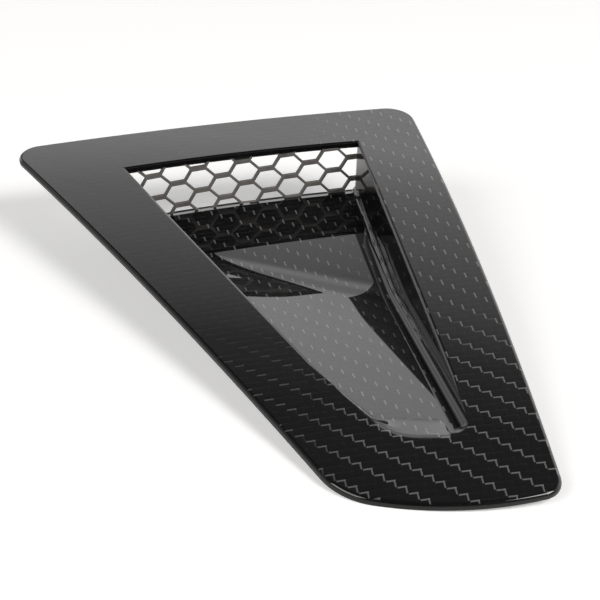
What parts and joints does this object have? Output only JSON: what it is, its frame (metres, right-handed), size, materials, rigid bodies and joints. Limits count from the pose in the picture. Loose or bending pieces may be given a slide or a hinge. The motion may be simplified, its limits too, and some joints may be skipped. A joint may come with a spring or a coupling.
{
  "type": "naca air intake",
  "caption": "Carbon-fibre NACA-style air intake: a flat tapered flange around a sunken ramp that deepens to a throat closed by hexagonal metal mesh.",
  "frame": {"origin": "middle of the flange's bounding box on the plane of its seat, which is the flange's underside", "axes": "+Z out of the body panel, normal to the flange; +Y from the narrow end of the ramp to the throat; +X to the right when looking from the narrow end to the throat"},
  "size_m": [0.1086, 0.156, 0.0174],
  "materials": {
    "carbon": "clear-coated 2/2 twill carbon fibre, gloss",
    "mesh": "bright expanded sheet",
    "adhesive": "cured black adhesive, satin"
  },
  "bodies": {
    "root": {"duct_body": "carbon", "mesh_grille": "mesh", "mesh_adhesive": "adhesive"}
  },
  "joints": []
}
